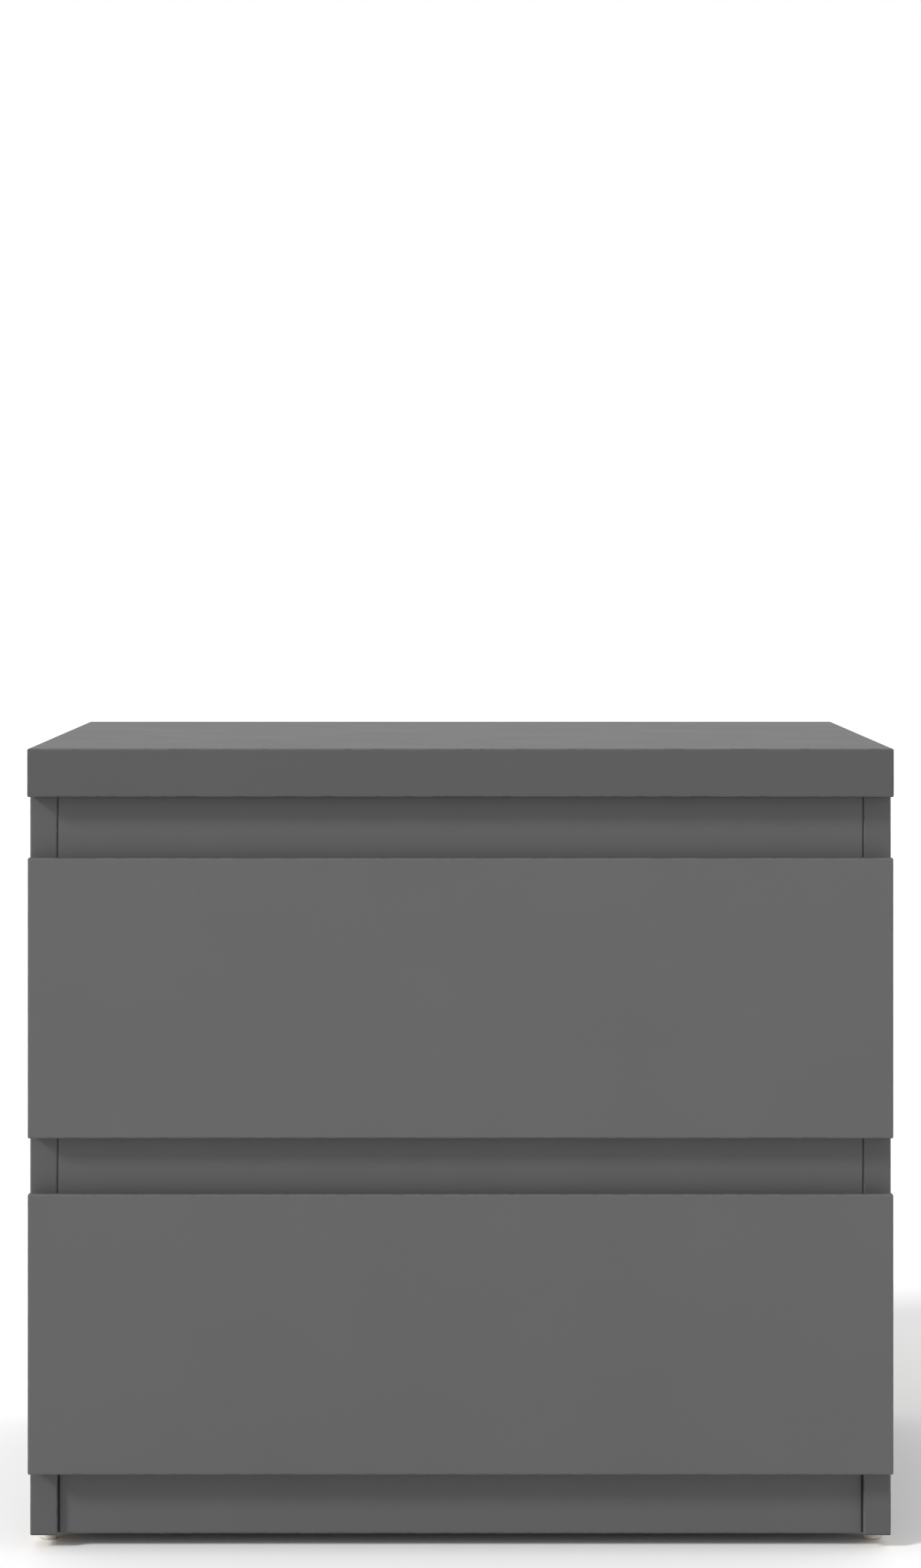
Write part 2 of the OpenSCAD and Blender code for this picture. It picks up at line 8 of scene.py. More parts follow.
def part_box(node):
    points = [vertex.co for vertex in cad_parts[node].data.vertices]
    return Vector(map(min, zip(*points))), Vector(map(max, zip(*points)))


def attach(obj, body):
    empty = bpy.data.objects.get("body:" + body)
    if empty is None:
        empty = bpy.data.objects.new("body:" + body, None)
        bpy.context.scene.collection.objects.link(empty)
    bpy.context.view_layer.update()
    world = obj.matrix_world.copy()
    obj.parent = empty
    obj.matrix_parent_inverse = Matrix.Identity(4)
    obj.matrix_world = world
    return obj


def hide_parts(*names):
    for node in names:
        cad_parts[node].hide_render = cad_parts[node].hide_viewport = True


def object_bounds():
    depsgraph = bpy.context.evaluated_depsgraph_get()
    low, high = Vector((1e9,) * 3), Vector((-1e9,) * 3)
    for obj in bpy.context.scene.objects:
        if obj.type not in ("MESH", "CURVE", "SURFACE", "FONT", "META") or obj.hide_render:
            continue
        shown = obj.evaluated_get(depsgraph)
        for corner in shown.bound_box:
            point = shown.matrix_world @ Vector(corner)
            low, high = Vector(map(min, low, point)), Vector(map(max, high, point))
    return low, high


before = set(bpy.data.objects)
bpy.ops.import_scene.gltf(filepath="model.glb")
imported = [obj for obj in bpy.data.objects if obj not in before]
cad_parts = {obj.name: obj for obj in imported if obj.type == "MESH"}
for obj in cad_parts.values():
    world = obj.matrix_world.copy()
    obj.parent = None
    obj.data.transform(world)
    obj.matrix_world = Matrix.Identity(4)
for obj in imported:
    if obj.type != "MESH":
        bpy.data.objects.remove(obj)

cad_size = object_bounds()
bpy.ops.object.select_all(action="DESELECT")


# ---- Carcass boards: top panel, two sides, three front rails and two rear rails ----
# Chipboard faced with matt graphite melamine. Plastic edging is glued to every edge that shows,
# and rear edges, hidden ends and bores are left raw. Cams and dowels pull the boards together.

MM = 0.001


class Wire:
    """A value on its way through a material. Sums on it add Math nodes."""

    def __init__(self, socket):
        self.socket = socket

    def node(self, kind, settings, values, out=0):
        """A node of that kind in this material: its settings, then the values of its sockets."""
        tree = self.socket.id_data
        made = tree.nodes.new(kind)
        for name, value in settings.items():
            if name == "stops":
                set_stops(made.color_ramp, value)
            else:
                setattr(made, name, value)
        for name, value in values.items():
            plug(made.inputs[name], value)
        return Wire(made.outputs[out])

    def sum(self, operation, a, b):
        return self.node("ShaderNodeMath", {"operation": operation}, {0: a, 1: b})

    def __add__(self, other):
        return self.sum("ADD", self, other)

    def __radd__(self, other):
        return self.sum("ADD", other, self)

    def __sub__(self, other):
        return self.sum("SUBTRACT", self, other)

    def __rsub__(self, other):
        return self.sum("SUBTRACT", other, self)

    def __mul__(self, other):
        return self.sum("MULTIPLY", self, other)

    def __rmul__(self, other):
        return self.sum("MULTIPLY", other, self)

    def __gt__(self, other):
        return self.sum("GREATER_THAN", self, other)

    def __lt__(self, other):
        return self.sum("LESS_THAN", self, other)

    def __abs__(self):
        return self.sum("ABSOLUTE", self, 0.0)

    def __or__(self, other):
        return self.sum("MAXIMUM", self, other)

    def __and__(self, other):
        return self.sum("MINIMUM", self, other)


def plug(socket, value):
    """Gives a socket its value, or the wire that brings it."""
    if isinstance(value, Wire):
        socket.id_data.links.new(value.socket, socket)
    elif socket.type == "RGBA":
        socket.default_value = (*value, 1.0)
    else:
        socket.default_value = value


def set_stops(ramp, stops):
    """A colour ramp's stops, each as (position, colour)."""
    while len(ramp.elements) < len(stops):
        ramp.elements.new(0.5)
    for element, (position, colour) in zip(ramp.elements, stops):
        element.position = position
        element.color = (*colour, 1.0)


def new_finish(name):
    """A new material: itself, its shader, and the place and facing of a point on the piece."""
    finish = bpy.data.materials.new(name)
    finish.use_nodes = True
    nodes = finish.node_tree.nodes
    shader = next(node for node in nodes if node.type == "BSDF_PRINCIPLED")
    coordinates = nodes.new("ShaderNodeTexCoord")
    place = Wire(coordinates.outputs["Object"])
    facing = Wire(coordinates.outputs["Normal"])
    return finish, shader, place, facing


def along(vector):
    """The X, Y and Z of a vector, as three wires."""
    first = vector.node("ShaderNodeSeparateXYZ", {}, {0: vector})
    return [Wire(socket) for socket in first.socket.node.outputs]


def scaled(place, factors):
    """A place stretched by a factor along each of X, Y and Z."""
    return place.node("ShaderNodeVectorMath", {"operation": "MULTIPLY"}, {0: place, 1: factors})


def cloud(place, width, detail=2.0, stretch=(1.0, 1.0, 1.0)):
    """Soft random patches from 0 to 1, each about as wide as said, in metres."""
    spread = scaled(place, [1.0 / (width * s) for s in stretch])
    return place.node("ShaderNodeTexNoise", {}, {"Vector": spread, "Scale": 1.0, "Detail": detail})


def blend(mask, under, over):
    """One colour, covered by another where the mask is 1."""
    return mask.node("ShaderNodeMix", {"data_type": "RGBA"}, {0: mask, 6: under, 7: over}, out=2)


def bump(height, depth):
    """A surface raised by the height, whose full range is depth in metres."""
    return height.node("ShaderNodeBump", {}, {"Distance": depth, "Height": height})


def finish_with(shader, colour, roughness, normal, metallic=0.0):
    """Gives a shader its colour, roughness, relief and metal."""
    plug(shader.inputs["Base Color"], colour)
    plug(shader.inputs["Roughness"], roughness)
    plug(shader.inputs["Normal"], normal)
    plug(shader.inputs["Metallic"], metallic)


def dress(node, finish):
    """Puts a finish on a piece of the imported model."""
    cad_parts[node].material_slots[0].material = finish


def depths_in(place, node):
    """How deep a point lies below the pair of faces across X, Y and Z of a board's box."""
    low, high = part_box(node)
    centre = (low + high) / 2
    half = (high - low) / 2
    return [half[i] - abs(axis - centre[i]) for i, axis in enumerate(along(place))]


def pressed(place, flake, stops):
    """Wood flakes of one size pressed together: their colour, and the dark gaps between them."""
    spread = scaled(place, [1.0 / flake, 1.0 / flake, 1.6 / flake])
    cells = spread.node("ShaderNodeTexVoronoi", {}, {"Vector": spread, "Scale": 1.0}, out=1)
    gaps = spread.node("ShaderNodeTexVoronoi", {"feature": "DISTANCE_TO_EDGE"},
                       {"Vector": spread, "Scale": 1.0})
    tone = cells.node("ShaderNodeValToRGB", {"stops": stops}, {0: along(cells)[0]})
    return tone, gaps < 0.05


def chipboard(place, node):
    """The colour and height of raw chipboard: coarse flakes in the middle, fine ones at the faces."""
    low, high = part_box(node)
    sizes = list(high - low)
    across = sizes.index(min(sizes))
    ragged = cloud(place, 1.5 * MM, 3.0) * 1.2 * MM
    outer = (depths_in(place, node)[across] + ragged) < sizes[across] * 0.2 + 0.6 * MM
    coarse, wide_gaps = pressed(place, 2.6 * MM, [
        (0.0, (0.20, 0.12, 0.06)), (0.5, (0.42, 0.28, 0.15)), (1.0, (0.60, 0.44, 0.27)),
    ])
    fine, thin_gaps = pressed(place, 0.8 * MM, [
        (0.0, (0.30, 0.20, 0.11)), (0.5, (0.40, 0.28, 0.16)), (1.0, (0.50, 0.36, 0.22)),
    ])
    gaps = outer * thin_gaps * 0.5 + (1 - outer) * wide_gaps
    colour = blend(gaps * 0.6, blend(outer, coarse, fine), (0.09, 0.05, 0.025))
    return colour, cloud(place, 0.8 * MM, 4.0) - gaps * 0.5


def core_shows(place, facing, node, bare):
    """1 in a board's bores and grooves, and on its bare faces, each given as (axis, side)."""
    skin = 0.6 * MM
    x, y, z = depths_in(place, node)
    mask = (x & y & z) > skin
    sides = along(facing)
    for axis, side in bare:
        mask = mask | ((sides[axis] * side) > 0.92)
    return mask


def depth_below(at, node, axis, side):
    """How deep a point lies below one face of a board's box."""
    low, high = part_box(node)
    return high[axis] - at[axis] if side > 0 else at[axis] - low[axis]


def edging(place, facing, node, edged):
    """Two masks of a board: its glued edging strips, and the hairline joint beside each."""
    strip = 1.0 * MM
    hairline = 0.08 * MM
    at = along(place)
    sides = along(facing)
    strips = at[0] * 0.0
    joints = at[0] * 0.0
    for axis, side in edged:
        depth = depth_below(at, node, axis, side)
        strips = strips | (depth < strip)
        joint = (abs(depth - strip) < hairline) & (abs(sides[axis]) < 0.5)
        joints = joints | joint
    return strips, joints


def rounded_edges(place, node):
    """1 on the rounded edges of a board, where two pairs of faces are near."""
    near = 0.9 * MM
    x, y, z = depths_in(place, node)
    return ((x < near) + (y < near) + (z < near)) > 1.5


def painted_joint_shade(place, node, bare):
    """1 close beside a bare face: a strip of the facing darkened as painted shade, for the shadow in the
    joint there.
    """
    reach = 0.9 * MM
    at = along(place)
    mask = at[0] * 0.0
    for axis, side in bare:
        mask = mask | (depth_below(at, node, axis, side) < reach)
    return mask


def faced_board(node, dark, pale, gloss, bare, edged):
    """Matt melamine or foil on chipboard: a fine pearl texture, faint clouds and handled edges."""
    finish, shader, place, facing = new_finish(node + "_finish")
    core = core_shows(place, facing, node, bare)
    strips, joints = edging(place, facing, node, edged)
    joint_shade = painted_joint_shade(place, node, bare)
    corner = rounded_edges(place, node) * (1 - joint_shade)
    clouds = cloud(place, 60 * MM, 3.0)
    pearl = cloud(place, 0.45 * MM, 2.0)
    speck = cloud(place, 1.6 * MM, 3.0)
    tone = blend(clouds * 0.5 + speck * 0.3 + pearl * 0.2, dark, pale)
    worn = corner * (cloud(place, 7 * MM, 4.0) > 0.46)
    tone = blend(worn * 0.25, tone, [part + 0.06 for part in pale])
    # Darkened: the edging's glue hairlines, and beside each bare face a strip of painted shade standing
    # for the shadow in the joint with the next board.
    tone = blend(joints * 0.55 + joint_shade * 0.5, tone, [part * 0.4 for part in dark])
    flakes, coarse = chipboard(place, node)
    colour = blend(core, tone, flakes)
    smear = cloud(place, 45 * MM, 3.0, (1.0, 1.0, 1.4))
    sheen = gloss + (pearl - 0.5) * 0.10 + (smear - 0.5) * 0.08 - strips * 0.05 - worn * 0.06
    roughness = sheen * (1 - core) + core * 0.9
    skin_height = pearl * 0.6 + speck * 0.4 - joints * 2.0
    height = skin_height * (1 - core) + coarse * core * 14.0
    finish_with(shader, colour, roughness, bump(height, 0.012 * MM))
    shader.inputs["Specular IOR Level"].default_value = 0.4
    return finish


LEFT, RIGHT, FRONT, REAR, UNDER, TOP = (0, -1), (0, 1), (1, -1), (1, 1), (2, -1), (2, 1)
ENDS = (LEFT, RIGHT)
# Painted light: the carcass is one graphite melamine, but the sides and, lighter still, the rails and
# plinth get brighter copies of it than the top panel, to make up for the shade in the recesses behind
# the fronts.
graphite_painted_light = {
    "top": ((0.0394, 0.0384, 0.0389), (0.0470, 0.0459, 0.0464)),
    "side": ((0.0486, 0.0474, 0.0479), (0.0572, 0.0559, 0.0564)),
    "rail": ((0.0556, 0.0541, 0.0547), (0.0658, 0.0641, 0.0648)),
}
carcass_boards = {
    "top_panel": ("top", (), (FRONT, REAR, LEFT, RIGHT)),
    "left_side": ("side", (REAR, UNDER, TOP), (FRONT,)),
    "right_side": ("side", (REAR, UNDER, TOP), (FRONT,)),
    "top_rail": ("rail", ENDS + (TOP,), (UNDER,)),
    "middle_rail": ("rail", ENDS, (UNDER, TOP)),
    "plinth": ("rail", ENDS + (TOP,), (UNDER,)),
    "rear_top_rail": ("side", ENDS + (TOP,), (UNDER,)),
    "rear_bottom_rail": ("side", ENDS + (UNDER,), (TOP,)),
}
for node, (shade, bare, edged) in carcass_boards.items():
    dark, pale = graphite_painted_light[shade]
    dress(node, faced_board(node, dark, pale, 0.52, bare, edged))


# ---- Back panel ----
# Thin hardboard slid into grooves in the sides and top, and nailed to the rear rails.
# The inside is printed plain grey. The reverse is raw brown fibre with the print of the press sieve.

def fibres(place):
    """The colour and height of a raw hardboard face."""
    felt = cloud(place, 1.8 * MM, 6.0)
    patch = cloud(place, 45 * MM, 3.0)
    tone = felt.node("ShaderNodeValToRGB", {"stops": [
        (0.25, (0.095, 0.050, 0.024)), (0.5, (0.165, 0.092, 0.046)), (0.78, (0.27, 0.165, 0.088)),
    ]}, {0: felt * 0.8 + patch * 0.2})
    return tone, felt


def sieve(place, across, up):
    """The woven print that the press sieve leaves, as a height."""
    pitch = 1.1 * MM
    at = along(place)
    turn = 2 * math.pi / pitch
    waves = [place.sum("SINE", at[i] * turn, 0.0) for i in (across, up)]
    return waves[0] * waves[1]


def hardboard(name, printed, dark, pale, across, up):
    """Hardboard with one lacquered face, the one that looks along printed, given as (axis, side)."""
    finish, shader, place, facing = new_finish(name)
    axis, side = printed
    lacquered = (along(facing)[axis] * side) > 0.7
    raw, felt = fibres(place)
    grain = cloud(place, 0.9 * MM, 3.0)
    clouds = cloud(place, 50 * MM, 3.0)
    lacquer = blend(clouds * 0.6 + grain * 0.4, dark, pale)
    colour = blend(lacquered, raw, lacquer)
    roughness = lacquered * (0.46 + grain * 0.12) + (1 - lacquered) * (0.82 + felt * 0.1)
    weave = sieve(place, across, up)
    height = lacquered * grain * 0.15 + (1 - lacquered) * (felt * 0.8 + weave * 0.6)
    finish_with(shader, colour, roughness, bump(height, 0.06 * MM))
    return finish


dress("back_panel", hardboard("back_panel_finish", FRONT, (0.060, 0.059, 0.058),
                              (0.080, 0.079, 0.077), 0, 2))


# ---- Glides ----
# Foot buttons of cream polyethylene under the corners. Each has a rounded sole with the pit of the
# moulding gate, a collar groove, and a barbed peg knocked into the side panel's lower edge.

def direction(part):
    """The way a face looks, an edge runs or a corner points."""
    if isinstance(part, bmesh.types.BMEdge):
        start, end = part.verts
        return (end.co - start.co).normalized()
    return part.normal


def middle(part):
    """The middle of a face or an edge, or the place of a corner."""
    if isinstance(part, bmesh.types.BMVert):
        return part.co
    corners = [corner.co for corner in part.verts]
    return sum(corners, Vector()) / len(corners)


def pick(kind, test):
    """In edit mode, selects the faces, edges or corners whose middle and direction pass the test."""
    bpy.ops.mesh.select_mode(type=kind)
    bpy.ops.mesh.select_all(action="DESELECT")
    shape = bmesh.from_edit_mesh(bpy.context.object.data)
    parts = {"FACE": shape.faces, "EDGE": shape.edges, "VERT": shape.verts}[kind]
    for part in [part for part in parts if test(middle(part), direction(part))]:
        part.select_set(True)
    shape.select_flush_mode()
    bmesh.update_edit_mesh(bpy.context.object.data)


def extrude(move):
    """Pulls the selected faces or edges out by a move."""
    bpy.ops.mesh.extrude_region_move(TRANSFORM_OT_translate={"value": move})


def turned(name, foot, axis, profile, sides=48):
    """A turned shape, left in edit mode: a disc, extruded and resized through (height, radius)."""
    foot, axis = Vector(foot), Vector(axis)
    height, radius = profile[0]
    bpy.ops.object.select_all(action="DESELECT")
    bpy.ops.mesh.primitive_circle_add(vertices=sides, radius=radius, fill_type="NGON",
                                      location=foot + axis * height,
                                      rotation=axis.to_track_quat("Z", "Y").to_euler())
    piece = bpy.context.object
    piece.name = name
    bpy.ops.object.transform_apply(location=True, rotation=True, scale=True)
    bpy.ops.object.mode_set(mode="EDIT")
    bpy.ops.mesh.select_all(action="SELECT")
    for next_height, next_radius in profile[1:]:
        extrude(axis * (next_height - height))
        factors = [1.0 if abs(part) > 0.5 else next_radius / radius for part in axis]
        bpy.ops.transform.resize(value=factors, center_override=foot + axis * next_height)
        height, radius = next_height, next_radius
    return piece


def leave_edit():
    """Closes edit mode with every face pointing outwards."""
    bpy.ops.mesh.select_all(action="SELECT")
    bpy.ops.mesh.remove_doubles(threshold=0.001 * MM)
    bpy.ops.mesh.normals_make_consistent(inside=False)
    bpy.ops.object.mode_set(mode="OBJECT")


def apply_modifier(piece, kind, **settings):
    """Adds a modifier and applies it at once."""
    bpy.ops.object.select_all(action="DESELECT")
    piece.select_set(True)
    bpy.context.view_layer.objects.active = piece
    modifier = piece.modifiers.new(kind.lower(), kind)
    for name, value in settings.items():
        setattr(modifier, name, value)
    bpy.ops.object.modifier_apply(modifier=modifier.name)


def soften(piece, radius, steps=2):
    """Rounds the sharp edges of a piece and shades the rest smooth."""
    apply_modifier(piece, "BEVEL", width=radius, segments=steps, limit_method="ANGLE",
                   angle_limit=math.radians(32), use_clamp_overlap=True)
    bpy.ops.object.shade_smooth_by_angle(angle=math.radians(32))


def copy_of(piece, name, place):
    """The same piece again, with a mesh of its own, moved or mirrored by a matrix."""
    twin = piece.copy()
    twin.data = piece.data.copy()
    twin.name = name
    bpy.context.scene.collection.objects.link(twin)
    twin.data.transform(place)
    if place.determinant() < 0:
        twin.data.flip_normals()
    return twin


def fit(piece, finish, body, node):
    """Gives a new piece its finish and its body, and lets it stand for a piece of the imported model."""
    piece.data.materials.clear()
    piece.data.materials.append(finish)
    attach(piece, body)
    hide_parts(node)


def polyethylene():
    """Waxy moulded plastic: faint flow clouds, and a scuffed grey sole."""
    finish, shader, place = new_finish("glide_plastic_finish")[:3]
    flow = cloud(place, 3 * MM, 3.0)
    grit = cloud(place, 0.35 * MM, 3.0)
    tone = blend(flow, (0.47, 0.445, 0.395), (0.56, 0.535, 0.485))
    sole = (along(place)[2] < 1.2 * MM) * (cloud(place, 1.2 * MM, 5.0) > 0.52)
    colour = blend(sole * 0.5, tone, (0.30, 0.27, 0.23))
    roughness = 0.34 + flow * 0.12 + sole * 0.25
    finish_with(shader, colour, roughness, bump(grit + sole * 0.6, 0.02 * MM))
    return finish


glide_finish = polyethylene()
glide_low, glide_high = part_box("front_left_glide")
glide_foot = ((glide_low.x + glide_high.x) / 2, (glide_low.y + glide_high.y) / 2, 0.0)
glide_r = (glide_high.x - glide_low.x) / 2
glide_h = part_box("left_side")[0].z
peg_r = 4.0 * MM
barb = 0.35 * MM
barb_pitch = 3.0 * MM
sole_round, rim_wide, pit_deep = 1.4 * MM, 1.2 * MM, 0.35 * MM
gate_in, gate_high = 0.55 * MM, 0.2 * MM
moulded_round = 0.12 * MM
collar = [(0.0, glide_r), (glide_h - 2.3 * MM, glide_r), (glide_h - 2.1 * MM, glide_r - 0.4 * MM),
          (glide_h - 1.7 * MM, glide_r - 0.4 * MM), (glide_h - 1.5 * MM, glide_r),
          (glide_h, glide_r), (glide_h, peg_r)]
barbs = []
for i in range(6):
    rise = glide_h + barb_pitch * (i + 0.5)
    barbs += [(rise, peg_r), (rise + 0.3 * MM, peg_r - barb), (rise + barb_pitch * 0.8, peg_r)]
first_glide = turned("glide_front_left", glide_foot, (0, 0, 1),
                     collar + barbs + [(glide_high.z, peg_r - 1.0 * MM)])
pick("EDGE", lambda at, way: at.z < 0.01 * MM)
bpy.ops.mesh.bevel(offset=sole_round, segments=6, affect="EDGES")
pick("FACE", lambda at, way: way.z < -0.999 and at.z < 0.01 * MM)
bpy.ops.mesh.inset(thickness=rim_wide)
extrude((0, 0, pit_deep))
bpy.ops.mesh.inset(thickness=gate_in)
extrude((0, 0, -gate_high))
leave_edit()
soften(first_glide, moulded_round)
for row, side in [(row, side) for row in ("front", "rear") for side in ("left", "right")]:
    node = f"{row}_{side}_glide"
    low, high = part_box(node)
    shift = Vector(((low.x + high.x) / 2, (low.y + high.y) / 2, 0.0)) - Vector(glide_foot)
    glide = copy_of(first_glide, f"glide_{row}_{side}_moulding", Matrix.Translation(shift))
    fit(glide, glide_finish, "carcass", node)
bpy.data.objects.remove(first_glide)


# ---- Cam locks, connecting bolts, dowels and nails of the carcass ----
# Die-cast cams turn in the rails and sides and pull on zinc-plated bolts screwed into the next
# board. Beech dowels keep the joints in line. Flat-headed nails hold the back panel.

def zinc(name, dull, bright, gloss):
    """Zinc plating: bright metal with a faint blue and yellow cast, fine scratches and dull spots."""
    finish, shader, place = new_finish(name)[:3]
    cast = cloud(place, 2.5 * MM, 3.0)
    spots = cloud(place, 0.7 * MM, 5.0)
    scratch = cloud(place, 0.12 * MM, 2.0, (12.0, 12.0, 1.0))
    tone = blend(cast, dull, bright)
    colour = blend((spots > 0.62) * 0.35, tone, (0.40, 0.41, 0.42))
    roughness = gloss + spots * 0.16 + scratch * 0.06
    finish_with(shader, colour, roughness, bump(spots * 0.5 + scratch * 0.5, 0.008 * MM), 1.0)
    return finish


def beech():
    """Fluted beech: pale end grain and darker ray flecks."""
    finish, shader, place = new_finish("beech_finish")[:3]
    fleck = cloud(place, 0.5 * MM, 4.0, (3.0, 3.0, 1.0))
    ring = cloud(place, 2.5 * MM, 4.0, (5.0, 1.0, 5.0))
    tone = blend(ring, (0.42, 0.25, 0.12), (0.60, 0.40, 0.22))
    colour = blend((fleck > 0.6) * 0.5, tone, (0.25, 0.13, 0.06))
    finish_with(shader, colour, 0.6 + fleck * 0.2, bump(fleck + ring * 0.5, 0.05 * MM))
    return finish


plating = zinc("zinc_plating", (0.52, 0.54, 0.58), (0.72, 0.71, 0.66), 0.24)
casting = zinc("zinc_casting_finish", (0.42, 0.43, 0.45), (0.56, 0.56, 0.57), 0.38)
dowel_wood = beech()
dress("carcass_cam_locks", casting)
dress("carcass_bolts", plating)
dress("carcass_dowels", dowel_wood)
dress("back_nails", plating)


# ---- Cabinet runners and their screws ----
# A channel of pressed steel sheet with a cream-white baked coat, screwed to each side panel. Its
# rear end is bent in as a stop, and its web is punched with round and oblong fixing holes.

def enamel():
    """Baked epoxy coat: slightly wavy and glossy, grey where the rollers run."""
    finish, shader, place, facing = new_finish("runner_coat")
    peel = cloud(place, 1.4 * MM, 3.0)
    clouds = cloud(place, 30 * MM, 3.0)
    rub = cloud(place, 2.0 * MM, 5.0, (1.0, 14.0, 1.0))
    level = abs(along(facing)[2]) > 0.8
    tone = blend(clouds, (0.66, 0.645, 0.60), (0.74, 0.73, 0.69))
    tracks = level * (rub > 0.55)
    colour = blend(tracks * 0.30, tone, (0.34, 0.34, 0.34))
    roughness = 0.26 + peel * 0.10 + tracks * 0.18
    finish_with(shader, colour, roughness, bump(peel, 0.03 * MM))
    return finish


def start_sheet(name, low, high):
    """A flat upright strip of sheet from corner to corner, left in edit mode."""
    bpy.ops.object.select_all(action="DESELECT")
    bpy.ops.mesh.primitive_plane_add(size=1.0, location=(low + high) / 2,
                                     rotation=(0.0, math.radians(90.0), 0.0))
    strip = bpy.context.object
    strip.name = name
    strip.scale = (high.z - low.z, high.y - low.y, 1.0)
    bpy.ops.object.transform_apply(location=True, rotation=True, scale=True)
    bpy.ops.object.mode_set(mode="EDIT")
    return strip


def is_near(a, b):
    """Whether two heights or places are the same, to a hair."""
    return abs(a - b) < 0.05 * MM


def fold(test):
    """Rounds the folds of a sheet, found by their middle and direction."""
    pick("EDGE", test)
    bpy.ops.mesh.bevel(offset=fold_r, segments=4, affect="EDGES")


def join(pieces, name):
    """Several pieces as one."""
    bpy.ops.object.select_all(action="DESELECT")
    for piece in pieces:
        piece.select_set(True)
    bpy.context.view_layer.objects.active = pieces[0]
    bpy.ops.object.join()
    pieces[0].name = name
    return pieces[0]


def cut(piece, cutter):
    """Takes one piece's shape out of another."""
    apply_modifier(piece, "BOOLEAN", object=cutter, operation="DIFFERENCE", solver="EXACT")
    bpy.data.objects.remove(cutter)


def punch(sheet, holes, axis):
    """Punches round and oblong holes, each as (place, width, length along Y)."""
    punches = []
    for place, wide, length in holes:
        bpy.ops.object.select_all(action="DESELECT")
        turn = Vector(axis).to_track_quat("Z", "Y").to_euler()
        bpy.ops.mesh.primitive_cylinder_add(vertices=22, radius=wide / 2, depth=4 * MM,
                                            location=place, rotation=turn)
        bpy.ops.object.transform_apply(location=True, rotation=True, scale=True)
        bpy.ops.object.mode_set(mode="EDIT")
        for side in (-1, 1):
            pick("VERT", lambda at, way: (at.y - place[1]) * side > 0)
            bpy.ops.transform.translate(value=(0.0, side * (length - wide) / 2, 0.0))
        bpy.ops.object.mode_set(mode="OBJECT")
        punches.append(bpy.context.object)
    cut(sheet, join(punches, "punch"))


sheet_t = 1.2 * MM
half_t = sheet_t / 2
fold_r = 1.3 * MM
screw_hole = 4.0 * MM
pin_hole = 4.1 * MM
oblong_wide, oblong_long = 4.4 * MM, 9.0 * MM
stop_deep = 5.0 * MM
pressed_round = 0.15 * MM
screw_places = [45 * MM, 170 * MM, 300 * MM]
web_level = 9.5 * MM
runner_coat = enamel()
low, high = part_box("cabinet_runner_upper_left")
roller_low, roller_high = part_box("cabinet_roller_upper_left")
flange_front = roller_high.y + 2 * MM
web_x = low.x + half_t
fold_low = low.z + half_t
fold_high = high.z - half_t
rear_fold = high.y - half_t
flange = Vector((high.x - web_x, 0.0, 0.0))
channel = start_sheet("channel", Vector((web_x, low.y, fold_low)),
                      Vector((web_x, rear_fold, fold_high)))
notch = 2.5 * MM
for point, normal in (((0.0, flange_front, 0.0), (0.0, 1.0, 0.0)),
                      ((0.0, 0.0, fold_low + notch), (0.0, 0.0, 1.0)),
                      ((0.0, 0.0, fold_high - notch), (0.0, 0.0, 1.0))):
    bpy.ops.mesh.select_all(action="SELECT")
    bpy.ops.mesh.bisect(plane_co=point, plane_no=normal)
pick("EDGE", lambda at, way: is_near(at.z, fold_low) and abs(way.y) > 0.9)
extrude(flange)
pick("EDGE", lambda at, way: is_near(at.z, fold_high) and abs(way.y) > 0.9 and at.y > flange_front)
extrude(flange)
pick("EDGE", lambda at, way: is_near(at.y, rear_fold) and abs(way.z) > 0.9
     and fold_low + notch < at.z < fold_high - notch)
extrude((stop_deep, 0.0, 0.0))
fold(lambda at, way: abs(way.y) > 0.9 and is_near(at.x, web_x)
     and (is_near(at.z, fold_low) or is_near(at.z, fold_high)))
leave_edit()
apply_modifier(channel, "SOLIDIFY", thickness=sheet_t, offset=0.0, use_even_offset=True)
level = low.z + web_level
round_places = screw_places + [77 * MM, 268 * MM, 332 * MM]
round_holes = [(low.y + y, screw_hole, screw_hole) for y in round_places]
oblong_places = (109 * MM, 141 * MM, 205 * MM, 237 * MM)
oblong_holes = [(low.y + y, oblong_wide, oblong_long) for y in oblong_places]
channel_holes = [((web_x, y, level), wide, length) for y, wide, length in round_holes + oblong_holes]
roller_middle = (roller_low + roller_high) / 2
channel_holes.append(((web_x, roller_middle.y, roller_middle.z), pin_hole, pin_hole))
punch(channel, channel_holes, (1, 0, 0))
soften(channel, pressed_round)
MIRRORED = Matrix.Scale(-1.0, 4, (1.0, 0.0, 0.0))
for storey in ("upper", "lower"):
    drop = Matrix.Translation((0.0, 0.0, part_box(f"cabinet_runner_{storey}_left")[0].z - low.z))
    for side, place in (("left", drop), ("right", MIRRORED @ drop)):
        runner = copy_of(channel, f"runner_channel_{storey}_{side}", place)
        fit(runner, runner_coat, "carcass", f"cabinet_runner_{storey}_{side}")
bpy.data.objects.remove(channel)


